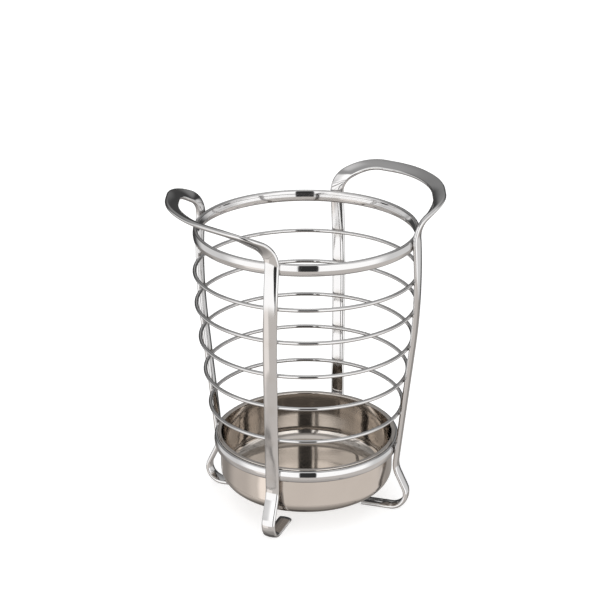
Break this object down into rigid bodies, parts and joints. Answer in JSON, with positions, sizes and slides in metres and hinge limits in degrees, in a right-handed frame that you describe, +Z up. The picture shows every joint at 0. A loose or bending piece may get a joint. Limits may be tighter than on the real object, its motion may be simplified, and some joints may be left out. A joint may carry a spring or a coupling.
{
  "type": "utensil holder",
  "caption": "Free-standing round utensil holder: an open wire basket between two bent bar frames with looped handles, over a lift-out metal cup.",
  "frame": {"origin": "on the basket's axis at the height of the table", "axes": "+Z up along the basket's axis, +X towards the right handle, +Y square to both"},
  "size_m": [0.1756, 0.1416, 0.2096],
  "materials": {
    "stand": "mirror polished",
    "cup": "polished, a little less bright than the stand"
  },
  "bodies": {
    "stand": {"left_frame": "stand", "right_frame": "stand", "top_rim": "stand", "hoop_1": "stand", "hoop_2": "stand", "hoop_3": "stand", "hoop_4": "stand", "hoop_5": "stand", "base_ring": "stand"},
    "cup": {"cup": "cup"}
  },
  "joints": [
    {"name": "cup_lift", "type": "slide", "parent": "stand", "child": "cup", "axis": [0, 0, 1], "range_m": [0, 0.2]}
  ]
}
